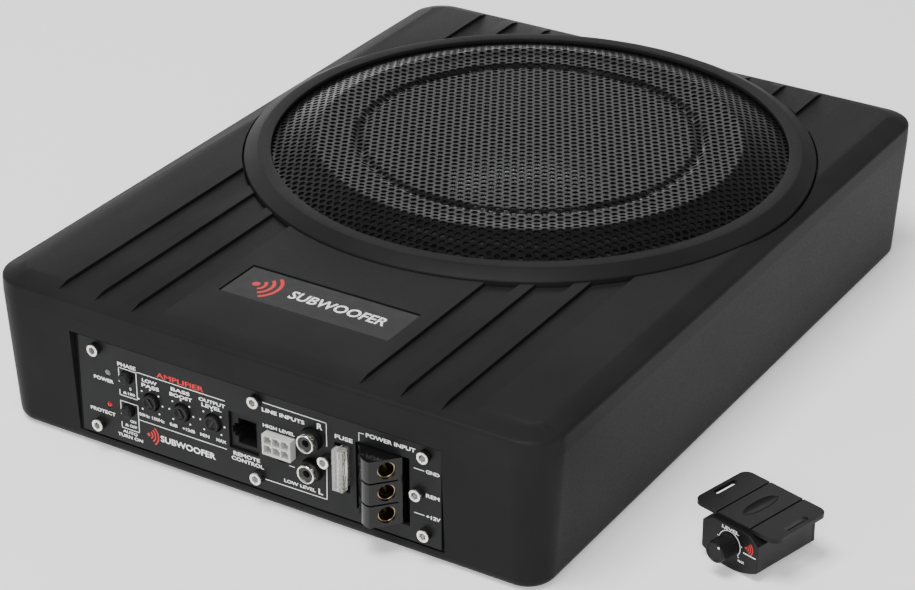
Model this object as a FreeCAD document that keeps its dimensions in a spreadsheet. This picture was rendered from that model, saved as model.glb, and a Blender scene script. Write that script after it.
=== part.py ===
import FreeCAD, Part
import math
import os
import Sketcher
from types import SimpleNamespace
from FreeCAD import Rotation, Vector

# Powered under-seat car subwoofer: a flat cabinet with a ten-inch shallow woofer fired upwards,
# a built-in amplifier behind the control panel, and a loose level control beside it.
# Millimetres, +Z up. The origin is the centre of the cabinet's flat base, and the control
# panel faces -Y. Heights are measured from the base.

DIMENSIONS = {
    # cabinet
    "body_width": 270.0,
    "body_length": 352.0,
    "corner_radius": 16.0,
    "seam_height": 61.0,
    "skirt_height": 69.0,
    "top_height": 72.0,
    "chamfer_width": 10.0,
    "draft_inset": 3.3,
    "base_radius": 4.5,
    "wall": 3.0,
    "channel_depth": 1.8,
    "channel_width": 13.2,
    "channel_pitch": 18.8,
    "channel_first": 55.6,
    "badge_width": 83.0,
    "badge_length": 25.4,
    "badge_place": 127.0,
    # woofer
    "woofer_place": 44.0,
    "seat_height": 68.0,
    "bezel_radius": 129.8,
    "rim_radius": 117.3,
    "rim_height": 76.0,
    "flange_radius": 116.5,
    "cone_radius": 86.0,
    "coil_radius": 25.9,
    "magnet_radius": 55.0,
    # control panel
    "panel_left": -89.8,
    "panel_right": 87.6,
    "panel_low": 7.3,
    "panel_high": 53.0,
    "panel_face": 2.4,
    "panel_sheet": 2.0,
    "knob_radius": 3.7,
    "knob_height": 31.5,
    "terminal_pitch": 10.2,
    "terminal_middle": 29.3,
    # level control
    "remote_width": 28.8,
    "remote_depth": 35.0,
    "remote_right": 189.0,
    "remote_front": 98.8,
    "remote_turn": -15.0,
}

os.makedirs("parts", exist_ok=True)
doc = FreeCAD.newDocument("PoweredSubwoofer")
sheet = doc.addObject("Spreadsheet::Sheet", "dims")


class Size:
    """A length that carries its number and the sheet expression that gives it."""

    def __init__(self, value, text):
        self.value = value
        self.text = text

    def __add__(self, other):
        other = size(other)
        return Size(self.value + other.value, f"({self.text} + {other.text})")

    def __sub__(self, other):
        other = size(other)
        return Size(self.value - other.value, f"({self.text} - {other.text})")

    def __mul__(self, other):
        other = size(other)
        return Size(self.value * other.value, f"({self.text} * {other.text})")

    def __truediv__(self, other):
        other = size(other)
        return Size(self.value / other.value, f"({self.text} / {other.text})")

    def __neg__(self):
        return Size(-self.value, f"(0 - {self.text})")

    def __radd__(self, other):
        return size(other) + self

    def __rsub__(self, other):
        return size(other) - self


def size(thing):
    """Any plain number as a Size."""
    if isinstance(thing, Size):
        return thing
    return Size(float(thing), f"{float(thing):.6f}")


def fill_sheet():
    """Write the driving dimensions into the sheet and return them by name."""
    dims = SimpleNamespace()
    for row, (name, value) in enumerate(DIMENSIONS.items(), start=1):
        sheet.set(f"A{row}", name)
        sheet.set(f"B{row}", str(value))
        sheet.setAlias(f"B{row}", name)
        setattr(dims, name, Size(value, f"dims.{name}"))
    doc.recompute()
    return dims


d = fill_sheet()
front = -d.body_length / 2
nodes = {}

TOWARDS = {
    "+Z": Rotation(),
    "-Z": Rotation(Vector(1, 0, 0), 180),
    "+Y": Rotation(Vector(1, 0, 0), -90),
    "-Y": Rotation(Vector(1, 0, 0), 90),
}


# ---------------------------------------------------------------- building blocks


def bind(obj, prop, length):
    obj.setExpression(prop, size(length).text)


def place(obj, corner, rotation=None):
    """Put an object at a corner whose coordinates may come from the sheet."""
    base = Vector(*[size(value).value for value in corner])
    obj.Placement = FreeCAD.Placement(base, rotation or Rotation())
    for letter, value in zip("xyz", corner):
        bind(obj, f"Placement.Base.{letter}", value)
    return obj


def block(low, high):
    """A box between its low and high corners."""
    box = doc.addObject("Part::Box", "block")
    for prop, start, end in zip(("Length", "Width", "Height"), low, high):
        bind(box, prop, size(end) - start)
    return place(box, low)


def slab(middle, spans, turn=0.0):
    """A box from the middle of its base, turned about +Z."""
    box = doc.addObject("Part::Box", "slab")
    for prop, span in zip(("Length", "Width", "Height"), spans):
        bind(box, prop, span)
    angle = math.radians(turn)
    half_x = size(spans[0]) / 2
    half_y = size(spans[1]) / 2
    corner = (
        size(middle[0]) - half_x * math.cos(angle) + half_y * math.sin(angle),
        size(middle[1]) - half_x * math.sin(angle) - half_y * math.cos(angle),
        middle[2],
    )
    return place(box, corner, Rotation(Vector(0, 0, 1), turn))


def rod(start, radius, length, towards="+Z"):
    """A cylinder from the middle of its first face."""
    cylinder = doc.addObject("Part::Cylinder", "rod")
    bind(cylinder, "Radius", radius)
    bind(cylinder, "Height", length)
    rotation = TOWARDS[towards] if isinstance(towards, str) else towards
    return place(cylinder, start, rotation)


def pin_along(start, direction, radius, length):
    """A cylinder along any direction."""
    return rod(start, radius, length, Rotation(Vector(0, 0, 1), Vector(*direction)))


def tube(start, outer, inner, length, towards="+Z"):
    return cut(rod(start, outer, length, towards), rod(start, inner, length, towards))


def fuse(*pieces):
    joined = doc.addObject("Part::MultiFuse", "fused")
    joined.Shapes = list(pieces)
    return joined


def cut(base, *tools):
    result = doc.addObject("Part::Cut", "cut")
    result.Base = base
    result.Tool = tools[0] if len(tools) == 1 else fuse(*tools)
    return result


def common(first, second):
    result = doc.addObject("Part::Common", "common")
    result.Base = first
    result.Tool = second
    return result


def group(*pieces):
    """Separate solids that share one node."""
    result = doc.addObject("Part::Compound", "group")
    result.Links = list(pieces)
    return result


def node(name, obj):
    obj.Label = name
    nodes[name] = obj
    return obj


def origin_plane(body, role):
    return next(feature for feature in body.Origin.OriginFeatures if feature.Role == role)


def attach(body, sketch, role, offset=0.0):
    sketch.AttachmentSupport = [(origin_plane(body, role), "")]
    sketch.MapMode = "FlatFace"
    bind(sketch, "AttachmentOffset.Base.z", offset)


def hold_point(sketch, geometry, position, point):
    """Fix a sketch point at coordinates that come from the sheet."""
    for kind, value in zip(("DistanceX", "DistanceY"), point):
        value = size(value)
        held = Sketcher.Constraint(kind, -1, 1, geometry, position, value.value)
        index = sketch.addConstraint(held)
        sketch.setExpression(f"Constraints[{index}]", value.text)


def outline(body, points, role="XZ_Plane", offset=0.0):
    """A closed sketch through points; a point (x, y, bulge point) ends an arc through the bulge."""
    sketch = body.newObject("Sketcher::SketchObject", "outline")
    attach(body, sketch, role, offset)
    flat = [(size(point[0]), size(point[1])) for point in points]
    count = len(points)
    for index in range(count):
        start = Vector(flat[index][0].value, flat[index][1].value, 0)
        after = (index + 1) % count
        end = Vector(flat[after][0].value, flat[after][1].value, 0)
        if len(points[after]) == 3:
            bulge = Vector(*[size(value).value for value in points[after][2]], 0)
            arc = Part.Arc(start, bulge, end)
            sketch.addGeometry(arc)
            radius = arc.toShape().Curve.Radius
            sketch.addConstraint(Sketcher.Constraint("Radius", index, radius))
        else:
            sketch.addGeometry(Part.LineSegment(start, end))
    ends = []
    for index in range(count):
        begun = Vector(flat[index][0].value, flat[index][1].value, 0)
        first = sketch.getPoint(index, 1)
        ends.append((1, 2) if first.distanceToPoint(begun) < 1e-6 else (2, 1))
    for index in range(count):
        after = (index + 1) % count
        sketch.addConstraint(
            Sketcher.Constraint("Coincident", index, ends[index][1], after, ends[after][0])
        )
    for index, point in enumerate(flat):
        hold_point(sketch, index, ends[index][0], point)
    return sketch


def new_body(name, centre=(0, 0, 0), rotation=None):
    body = doc.addObject("PartDesign::Body", name)
    return place(body, centre, rotation)


def turned(name, points, centre=(0, 0, 0), rotation=None):
    """A piece turned about its own Z axis from points (radius, height)."""
    body = new_body(name, centre, rotation)
    sketch = outline(body, points)
    spun = body.newObject("PartDesign::Revolution", "spun")
    spun.Profile = sketch
    spun.ReferenceAxis = (sketch, ["V_Axis"])
    spun.Angle = 360
    return body


def raised(name, points, length, low):
    """A piece of even thickness from its plan outline, raised from a height."""
    body = new_body(name)
    sketch = outline(body, points, "XY_Plane", low)
    pad = body.newObject("PartDesign::Pad", "pad")
    pad.Profile = sketch
    bind(pad, "Length", length)
    return body


def rounded_outline(body, width, length, radius, height):
    """A centred rectangle with rounded corners, held by the sheet."""
    sketch = body.newObject("Sketcher::SketchObject", "rounded")
    attach(body, sketch, "XY_Plane", height)
    x, y, r = size(width).value / 2, size(length).value / 2, size(radius).value
    sides = [
        (Vector(r - x, -y, 0), Vector(x - r, -y, 0)),
        (Vector(x, r - y, 0), Vector(x, y - r, 0)),
        (Vector(x - r, y, 0), Vector(r - x, y, 0)),
        (Vector(-x, y - r, 0), Vector(-x, r - y, 0)),
    ]
    middles = [Vector(x - r, r - y, 0), Vector(x - r, y - r, 0)]
    middles += [Vector(r - x, y - r, 0), Vector(r - x, r - y, 0)]
    for quarter, (side, middle) in enumerate(zip(sides, middles)):
        sketch.addGeometry(Part.LineSegment(*side))
        circle = Part.Circle(middle, Vector(0, 0, 1), r)
        start = (quarter - 1) * math.pi / 2
        sketch.addGeometry(Part.ArcOfCircle(circle, start, start + math.pi / 2))
    for index in range(8):
        sketch.addConstraint(Sketcher.Constraint("Tangent", index, 2, (index + 1) % 8, 1))
    for index in (0, 4):
        sketch.addConstraint(Sketcher.Constraint("Horizontal", index))
        sketch.addConstraint(Sketcher.Constraint("Vertical", index + 2))
    for index in (3, 5, 7):
        sketch.addConstraint(Sketcher.Constraint("Equal", 1, index))
    limits = [
        ("DistanceX", 2, size(width) / 2),
        ("DistanceX", 6, -size(width) / 2),
        ("DistanceY", 4, size(length) / 2),
        ("DistanceY", 0, -size(length) / 2),
    ]
    for kind, side, value in limits:
        held = Sketcher.Constraint(kind, -1, 1, side, 1, value.value)
        index = sketch.addConstraint(held)
        sketch.setExpression(f"Constraints[{index}]", value.text)
    index = sketch.addConstraint(Sketcher.Constraint("Radius", 1, r))
    sketch.setExpression(f"Constraints[{index}]", size(radius).text)
    return sketch


def lofted(name, sections):
    """A solid between rounded rectangles given as (width, length, radius, height)."""
    body = new_body(name)
    sketches = [rounded_outline(body, *section) for section in sections]
    for lower, upper in zip(sketches, sketches[1:]):
        loft = body.newObject("PartDesign::AdditiveLoft", "loft")
        loft.Profile = lower
        loft.Sections = [upper]
        loft.Ruled = True
    return body


def section(inset, height):
    """The cabinet's plan, drawn in by an inset, at a height."""
    return (
        d.body_width - size(inset) * 2,
        d.body_length - size(inset) * 2,
        d.corner_radius - inset,
        height,
    )


# ---------------------------------------------------------------- cabinet

woofer = (0.0, d.woofer_place)
BOSS_X = 123.0
BOSS_Y = (-158.0, -42.0, 158.0)
BOSSES = [(side * BOSS_X, y) for side in (-1, 1) for y in BOSS_Y]
BOSS_RADIUS = 5.0
SCREW_HOLE = 2.2
HEAD_SINK = 4.0
FOOT_X, FOOT_Y = 90.0, 140.0
INSERTS = [(x, y) for x in (-FOOT_X, FOOT_X) for y in (-FOOT_Y, FOOT_Y)]
INSERT_HEIGHT = 10.0
INSERT_RADIUS = 3.4
THREAD_RADIUS = 2.1
BOARD_POSTS = [(x, y) for x in (-105.0, 105.0) for y in (-146.0, -92.0)]
BOARD_LOW = 12.0
BASE_STEPS = 5
EDGE_RADIUS = 2.0
EDGE_STEPS = 4
SCREW_X = 80.5
SCREW_HIGH, SCREW_LOW = 48.9, 12.9
PANEL_SCREWS = [(x, z) for x in (-SCREW_X, 0.3, SCREW_X) for z in (SCREW_HIGH, SCREW_LOW)]
PANEL_SCREWS += [(33.7, 31.5), (76.9, 30.6)]


def panel_back():
    """How far back from the front seam the rear of the control panel lies."""
    return front + d.panel_face + d.panel_sheet


def tub_sections():
    """Plans of the tapered tub: a rounded bottom edge in short steps, then straight to the seam."""
    sections = []
    for step in range(BASE_STEPS + 1):
        angle = math.pi / 2 * step / BASE_STEPS
        inset = d.draft_inset + d.base_radius * (1 - math.sin(angle))
        sections.append(section(inset, d.base_radius * (1 - math.cos(angle))))
    return sections + [section(0.0, d.seam_height)]


def tub_shell():
    """Drafted tray, hollowed from above."""
    outer = lofted("tub_outer", tub_sections())
    inner = lofted(
        "tub_inner",
        [
            section(d.draft_inset + d.wall, d.wall),
            section(d.wall, d.seam_height + 1),
        ],
    )
    return cut(outer, inner)


def lower_tub():
    shell = tub_shell()
    back = panel_back()
    frame = block((-95.0, back - 4, d.wall - 1), (91.5, back + d.wall, d.seam_height - 1.5))
    frame = common(frame, lofted("tub_plan", tub_sections()))
    bosses = [rod((x, y, 1.0), BOSS_RADIUS, d.seam_height - 1) for x, y in BOSSES]
    seats = [rod((x, y, 1.0), INSERT_RADIUS + 2.5, INSERT_HEIGHT + 0.5) for x, y in INSERTS]
    posts = [rod((x, y, 1.0), 3.5, BOARD_LOW - 1) for x, y in BOARD_POSTS]
    solid = fuse(shell, frame, *bosses, *seats, *posts)
    recess = block(
        (d.panel_left - 2.7, front - 1, d.panel_low - 1.5),
        (d.panel_right + 1.0, back, d.panel_high + 1.6),
    )
    opening = block((-77.0, front, 9.5), (73.2, back + d.wall + 1, 50.5))
    tabs = [
        block((-4.0, front - 1, 44.5), (4.6, back + d.wall + 2, 51.0)),
        block((-4.0, front - 1, 9.0), (4.6, back + d.wall + 2, 17.3)),
    ]
    opening = cut(opening, *tabs)
    holes = [rod((x, y, -1.0), SCREW_HOLE, 70.0) for x, y in BOSSES]
    sinks = [rod((x, y, -1.0), 4.2, HEAD_SINK + 1) for x, y in BOSSES]
    bores = [rod((x, y, -1.0), INSERT_RADIUS, INSERT_HEIGHT + 1) for x, y in INSERTS]
    pilots = [rod((x, back - 1, z), 1.5, 9.0, "+Y") for x, z in PANEL_SCREWS]
    node("lower_tub", cut(solid, recess, opening, *holes, *sinks, *bores, *pilots))
    brass = [
        tube((x, y, 0.0), INSERT_RADIUS, THREAD_RADIUS, INSERT_HEIGHT) for x, y in INSERTS
    ]
    node("base_inserts", group(*brass))


def channel_boxes():
    """Six shallow channels that run from front to back, three on each side."""
    boxes = []
    for side in (-1, 1):
        for index in range(3):
            middle = (d.channel_first + d.channel_pitch * index) * side
            low = (middle - d.channel_width / 2, front - 5, d.top_height - d.channel_depth)
            high = (middle + d.channel_width / 2, -front + 5, d.top_height + 5)
            boxes.append(block(low, high))
    return boxes


def cover_sections():
    """Plans of the cover: an upright skirt, a rounded edge in short steps, then the chamfer."""
    slope = (DIMENSIONS["top_height"] - DIMENSIONS["skirt_height"]) / DIMENSIONS["chamfer_width"]
    bend = math.pi / 2 - math.atan(slope)
    reach = EDGE_RADIUS * math.tan(bend / 2)
    sections = [section(0.0, d.seam_height)]
    for step in range(EDGE_STEPS + 1):
        angle = bend * step / EDGE_STEPS
        inset = EDGE_RADIUS * (1 - math.cos(angle))
        height = d.skirt_height - reach + EDGE_RADIUS * math.sin(angle)
        sections.append(section(inset, height))
    return sections + [section(d.chamfer_width, d.top_height)]


def top_cover():
    outer = lofted("cover_outer", cover_sections())
    inner = lofted(
        "cover_inner",
        [section(d.wall, d.seam_height - 1), section(d.wall, d.seat_height - 0.1)],
    )
    plan = lofted("cover_plan", [section(0.0, d.seam_height), section(0.0, d.skirt_height)])
    centre = (*woofer, d.seat_height - 3.5)
    seat = common(rod(centre, d.bezel_radius + 3.5, 4.0), plan)
    bosses = [rod((x, y, d.seam_height), BOSS_RADIUS, 8.0) for x, y in BOSSES]
    solid = fuse(cut(outer, inner), seat, *bosses)
    pocket = rod((*woofer, d.seat_height), d.bezel_radius + 0.8, 20.0)
    opening = rod((*woofer, d.seam_height - 1), 104.0, 30.0)
    badge_half = d.badge_width / 2
    badge_seat = block(
        (-badge_half, -d.badge_place - d.badge_length / 2, d.top_height - 1.2),
        (badge_half, -d.badge_place + d.badge_length / 2, d.top_height + 5),
    )
    pilots = [rod((x, y, d.seam_height - 1), 2.0, 7.0) for x, y in BOSSES]
    seats = [
        rod((x, y, d.seat_height - 5), 1.7, 10.0)
        for x, y in ring_points(WOOFER_SCREW_RING, WOOFER_SCREWS)
    ]
    cover = cut(solid, pocket, opening, badge_seat, *channel_boxes(), *pilots, *seats)
    node("top_cover", cover)


def ring_points(radius, count, turn=22.5):
    """Points spaced evenly round the woofer's axis."""
    points = []
    for index in range(count):
        angle = math.radians(turn + 360.0 * index / count)
        points.append((radius * math.cos(angle), radius * math.sin(angle) + d.woofer_place))
    return points


def screw(start, towards, head, head_height, shank, length, socket=0.0):
    """A screw from the seat of its head: the shank goes one way and the head the other."""
    rotation = TOWARDS[towards]
    way = rotation.multVec(Vector(0, 0, 1))
    head_start = [size(a) - size(head_height) * b for a, b in zip(start, way)]
    body = fuse(
        rod(head_start, head, head_height, towards),
        rod(start, shank, length, towards),
    )
    if not socket:
        return body
    hex_hole = doc.addObject("Part::Prism", "socket")
    hex_hole.Polygon = 6
    bind(hex_hole, "Circumradius", socket)
    bind(hex_hole, "Height", size(head_height) * 0.7)
    place(hex_hole, head_start, rotation)
    return cut(body, hex_hole)


def cabinet_trim():
    sunk = [
        screw((x, y, HEAD_SINK), "+Z", 3.8, 2.6, 2.0, d.seam_height + 2, 1.6) for x, y in BOSSES
    ]
    node("case_screws", group(*sunk))
    seal = lofted("seal_outer", [section(d.wall + 0.2, 59.0), section(d.wall + 0.2, 62.5)])
    hollow = lofted("seal_inner", [section(d.wall + 1.7, 58.0), section(d.wall + 1.7, 63.5)])
    clear = [rod((x, y, 57.0), BOSS_RADIUS + 0.4, 8.0) for x, y in BOSSES]
    clear.append(block((-96.0, front, 57.0), (92.5, front + 8.5, 65.0)))
    node("cover_seal", cut(seal, hollow, *clear))
    plate = (d.badge_width / 2 - 0.3, d.badge_length / 2 - 0.3)
    badge = block(
        (-plate[0], -d.badge_place - plate[1], d.top_height - 1.2),
        (plate[0], -d.badge_place + plate[1], d.top_height - 0.5),
    )
    node("badge_plate", badge)
    bezel_points = [
        (d.rim_radius, d.seat_height),
        (d.bezel_radius, d.seat_height),
        (d.bezel_radius, d.rim_height - 3.4),
        (d.bezel_radius - 6.4, d.rim_height),
        (d.rim_radius, d.rim_height),
        (d.rim_radius, d.rim_height - 2.4),
        (d.rim_radius + 2.2, d.rim_height - 2.4),
        (d.rim_radius + 2.2, d.rim_height - 3.7),
        (d.rim_radius, d.rim_height - 3.7),
    ]
    node("bezel_ring", turned("bezel_ring", bezel_points, (*woofer, 0.0)))


# ---------------------------------------------------------------- woofer

WOOFER_SCREW_RING = 111.5
WOOFER_SCREWS = 8


def grille():
    """Formed steel sheet: a rising cone, a shallow valley, a ridge and a flat middle."""
    top = [
        (d.rim_radius + 1.9, d.rim_height - 2.5),
        (d.rim_radius - 1.3, d.rim_height - 2.3),
        (d.rim_radius - 20.8, d.rim_height + 4.0),
        (d.rim_radius - 30.0, d.rim_height + 2.6),
        (d.rim_radius - 37.8, d.rim_height + 3.4),
        (d.rim_radius - 41.3, d.rim_height + 2.0),
        (0.0, d.rim_height + 2.3),
    ]
    under = [(radius, height - 1.0) for radius, height in reversed(top)]
    node("grille", turned("grille", top + under, (*woofer, 0.0)))


def woofer_frame():
    flange = d.flange_radius
    seat = d.seat_height
    points = [
        (98.0, seat + 3),
        (flange, seat + 3),
        (flange, seat + 1),
        (102.0, seat + 1),
        (102.0, 58.0),
        (66.0, 36.0),
        (66.0, 30.0),
        (30.0, 30.0),
        (30.0, 32.0),
        (57.0, 32.0),
        (57.0, 40.0),
        (68.6, 40.0),
        (100.0, 59.2),
        (100.0, seat + 1),
        (98.0, seat + 1),
    ]
    frame = turned("frame_turned", points, (*woofer, 0.0))
    windows = []
    for index in range(6):
        turn = 60.0 * index
        angle = math.radians(turn)
        middle = (88.0 * math.cos(angle), 88.0 * math.sin(angle) + d.woofer_place, 43.5)
        windows.append(slab(middle, (34.0, 46.0, 13.0), turn))
    holes = [
        rod((x, y, seat), 2.3, 5.0) for x, y in ring_points(WOOFER_SCREW_RING, WOOFER_SCREWS)
    ]
    node("woofer_frame", cut(frame, *windows, *holes))
    ring = tube((*woofer, seat), flange - 0.5, 107.0, 1.0)
    gaps = [
        rod((x, y, seat - 1), 2.3, 4.0)
        for x, y in ring_points(WOOFER_SCREW_RING, WOOFER_SCREWS)
    ]
    node("frame_gasket", cut(ring, *gaps))
    screws = [
        screw((x, y, seat + 3), "-Z", 3.4, 2.0, 1.6, 7.0)
        for x, y in ring_points(WOOFER_SCREW_RING, WOOFER_SCREWS)
    ]
    node("woofer_screws", group(*screws))


def moving_assembly():
    """Cone, dust cap and voice coil, with the surround and spider that carry them."""
    at = (*woofer, 0.0)
    rim = d.cone_radius
    coil = d.coil_radius
    cone = [
        (coil, 49.6),
        (rim - 3, 70.0),
        (rim, 70.0),
        (rim, 71.0),
        (rim - 4, 71.0),
        (coil, 51.2),
    ]
    node("cone", turned("cone", cone, at))
    dome = [(38.0, 55.6), (31.0, 57.7), (23.0, 59.6), (14.0, 61.1), (5.0, 61.9), (0.0, 62.0)]
    cap = dome + [(radius, height + 1.0) for radius, height in reversed(dome)]
    node("dust_cap", turned("dust_cap", cap, at))
    roll = [
        (rim - 4, 71.0),
        (rim, 71.0),
        (rim + 12, 71.0, (rim + 6, 66.0)),
        (rim + 19, 71.0),
        (rim + 19, 72.0),
        (rim + 11, 72.0),
        (rim + 1, 72.0, (rim + 6, 67.8)),
        (rim - 4, 72.0),
    ]
    node("surround", turned("surround", roll, at))
    node("voice_coil", tube((*woofer, 20.0), coil, coil - 0.8, 32.0))
    waves = [(coil, 41.2), (coil, 42.0)]
    waves += [(32.0 + 4.0 * index, 42.8 - 1.2 * (index % 2)) for index in range(7)]
    waves += [(58.0, 40.8), (66.0, 40.8), (66.0, 40.0), (57.5, 40.0)]
    waves += [(56.0 - 4.0 * index, 42.0 - 1.2 * (index % 2)) for index in range(7)]
    node("spider", turned("spider", waves, at))


def motor():
    at = (*woofer, 0.0)
    outer = d.magnet_radius
    node("top_plate", tube((*woofer, 26.0), outer - 5, 26.7, 4.0))
    node("magnet", tube((*woofer, 12.0), outer, 28.5, 14.0))
    yoke = [(0.0, 7.0), (outer - 4, 7.0), (outer - 2, 9.0), (outer - 2, 12.0)]
    yoke += [(24.3, 12.0), (24.3, 30.0), (0.0, 30.0)]
    node("back_plate", turned("back_plate", yoke, at))


# ---------------------------------------------------------------- control panel

face = front + d.panel_face
board = front + 16.0
KNOBS = {"low_pass": -52.9, "bass_boost": -37.2, "output_level": -21.5}
KNOB_PROUD = 1.8
BUTTONS = {"phase": 39.8, "turn_on": 24.0}
BUTTON_X = -64.9
BUTTON_RADIUS = 2.7
BUTTON_PROUD = 3.0
LAMPS = {"power_lamp": 38.8, "protect_lamp": 23.5}
LAMP_X = -75.3
JACK = ((-13.5, 22.6), (0.6, 39.4))
HEADER = ((4.8, 27.0), (18.7, 36.4))
HEADER_PROUD = 3.5
LATCH_X = 11.8
RCA = {"right": 39.3, "left": 25.1}
RCA_X = 27.0
RCA_RADIUS = 4.15
FUSE_X, FUSE_Z = 41.4, 30.6
TERMINAL_LEFT, TERMINAL_APEX, TERMINAL_RIGHT = 48.8, 60.8, 69.8
SHOULDER_X, SHOULDER_DEPTH = 55.2, 7.8
TERMINAL_DEPTH = 10.3
TERMINAL_WIRES = {"ground": 1, "remote": 0, "supply": -1}


def through(low, high, grow=0.25):
    """A square-edged hole through the panel."""
    return block(
        (low[0] - grow, face - 1, low[1] - grow),
        (high[0] + grow, face + d.panel_sheet + 1, high[1] + grow),
    )


def control_panel():
    plate = block(
        (d.panel_left, face, d.panel_low),
        (d.panel_right, face + d.panel_sheet, d.panel_high),
    )
    holes = [rod((x, face - 1, z), 1.7, 5.0, "+Y") for x, z in PANEL_SCREWS]
    holes += [
        rod((x, face - 1, d.knob_height), d.knob_radius + 0.5, 5.0, "+Y")
        for x in KNOBS.values()
    ]
    holes += [rod((LAMP_X, face - 1, z), 1.6, 5.0, "+Y") for z in LAMPS.values()]
    holes += [rod((RCA_X, face - 1, z), 5.2, 5.0, "+Y") for z in RCA.values()]
    for height in BUTTONS.values():
        holes.append(rod((BUTTON_X, face - 1, height), BUTTON_RADIUS + 0.4, 5.0, "+Y"))
    low, high = terminal_span()
    holes += [
        through(*JACK),
        through(*HEADER, 0.3),
        through((LATCH_X - 1.9, HEADER[0][1] - 3.4), (LATCH_X + 1.9, HEADER[0][1]), 0.0),
        through((FUSE_X - 3.5, FUSE_Z - 11), (FUSE_X + 3.5, FUSE_Z + 11), 0.0),
        through((TERMINAL_LEFT - 0.6, low), (TERMINAL_RIGHT + 2.9, high), 0.3),
    ]
    node("control_panel", cut(plate, *holes))
    screws = [
        screw((x, face, z), "+Y", 2.75, 3.0, 1.5, 8.0, 1.45) for x, z in PANEL_SCREWS
    ]
    node("panel_screws", group(*screws))


def terminal_span():
    """Heights of the terminal block's underside and top."""
    half = d.terminal_pitch * 1.5
    return d.terminal_middle - half, d.terminal_middle + half


def lamps():
    for name, height in LAMPS.items():
        at = (LAMP_X, face + 6, height)
        points = [(0.0, 0.0), (1.9, 0.0), (1.9, 1.0), (1.5, 1.0), (1.5, 5.3)]
        points += [(1.3, 5.9), (0.8, 6.3), (0.0, 6.4)]
        node(name, turned(name, points, at, TOWARDS["-Y"]))


def buttons():
    for name, height in BUTTONS.items():
        cap = fuse(
            rod((BUTTON_X, face - BUTTON_PROUD, height), BUTTON_RADIUS - 0.6, 6.2, "+Y"),
            rod((BUTTON_X, face - BUTTON_PROUD + 0.5, height), BUTTON_RADIUS, 5.7, "+Y"),
        )
        stem = rod((BUTTON_X, face + 3.2, height), 1.4, 5.0, "+Y")
        node(f"{name}_button", fuse(cap, stem))
        case = block(
            (BUTTON_X - 4, face + 6, height - 4),
            (BUTTON_X + 4, board, height + 4),
        )
        bore = rod((BUTTON_X, face + 5, height), 1.8, 6.5, "+Y")
        node(f"{name}_switch", cut(case, bore))


def potentiometers():
    for name, x in KNOBS.items():
        knob = rod((x, face - KNOB_PROUD, d.knob_height), d.knob_radius, 3.6, "+Y")
        slot = block(
            (x - 0.4, face - KNOB_PROUD - 1, d.knob_height - 2.4),
            (x + 0.4, face - KNOB_PROUD + 1.2, d.knob_height + 2.4),
        )
        shaft = rod((x, face + 1.8, d.knob_height), 2.0, 6.5, "+Y")
        node(f"{name}_knob", fuse(cut(knob, slot), shaft))
        case = block(
            (x - 4.8, face + 4.5, d.knob_height - 5.5),
            (x + 4.8, board, d.knob_height + 5.5),
        )
        bore = rod((x, face + 4, d.knob_height), 2.05, 5.0, "+Y")
        node(f"{name}_pot", cut(case, bore))


def remote_jack():
    """Modular socket: a latch step at the left and a row of contacts at the right."""
    (left, low), (right, high) = JACK
    middle = (low + high) / 2
    body = block((left, face + 1.3, low), (right, board, high))
    mouth = block((left + 3.6, face - 1, middle - 5.8), (right - 1.6, board - 1.5, middle + 5.8))
    step = block((left + 1.8, face - 1, middle - 3.0), (left + 4.0, board - 1.5, middle + 3.0))
    key = block((left + 0.8, face - 1, middle - 1.6), (left + 4.0, board - 1.5, middle + 1.6))
    node("remote_jack", cut(body, mouth, step, key))


def input_header():
    """Six-way speaker-level header with a square well round each pin."""
    (left, low), (right, high) = HEADER
    shell = block((left, face - HEADER_PROUD, low), (right, board, high))
    latch = block((LATCH_X - 1.5, face + 2.4, low - 2.4), (LATCH_X + 1.5, face + 6, low))
    wells = []
    pins = []
    for column in range(3):
        for row in range(2):
            x = (left + right) / 2 + 4.2 * (column - 1)
            z = (low + high) / 2 + 4.2 * (row - 0.5)
            wells.append(block((x - 1.75, face - 5, z - 1.75), (x + 1.75, face + 6, z + 1.75)))
            pins.append(block((x - 0.6, face - 1.5, z - 0.6), (x + 0.6, face + 6, z + 0.6)))
    node("input_header", cut(fuse(shell, latch), *wells))
    node("header_pins", group(*pins))


def line_inputs():
    reach = face - 5.4
    block_body = block((RCA_X - 6.2, face + 2.4, 18.0), (RCA_X + 8.9, board, 46.4))
    collars = [rod((RCA_X, face - 3.2, z), 4.9, 6.0, "+Y") for z in RCA.values()]
    bores = [rod((RCA_X, face - 4, z), RCA_RADIUS - 0.3, 12.0, "+Y") for z in RCA.values()]
    pilot = rod((PANEL_SCREWS[-2][0], face, PANEL_SCREWS[-2][1]), 1.5, 12.0, "+Y")
    node("rca_housing", cut(fuse(block_body, *collars), *bores, pilot))
    shells = []
    for z in RCA.values():
        seat = rod((RCA_X, reach, z), RCA_RADIUS, 2.2, "+Y")
        tail = rod((RCA_X, reach + 1, z), RCA_RADIUS - 0.3, 10.0, "+Y")
        shells.append(cut(fuse(seat, tail), rod((RCA_X, reach - 1, z), 3.3, 14.0, "+Y")))
    node("rca_shells", group(*shells))
    cores = []
    for z in RCA.values():
        core = rod((RCA_X, reach + 0.9, z), 3.3, 10.1, "+Y")
        cores.append(cut(core, rod((RCA_X, reach, z), 1.6, 9.0, "+Y")))
    node("rca_cores", group(*cores))


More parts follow.
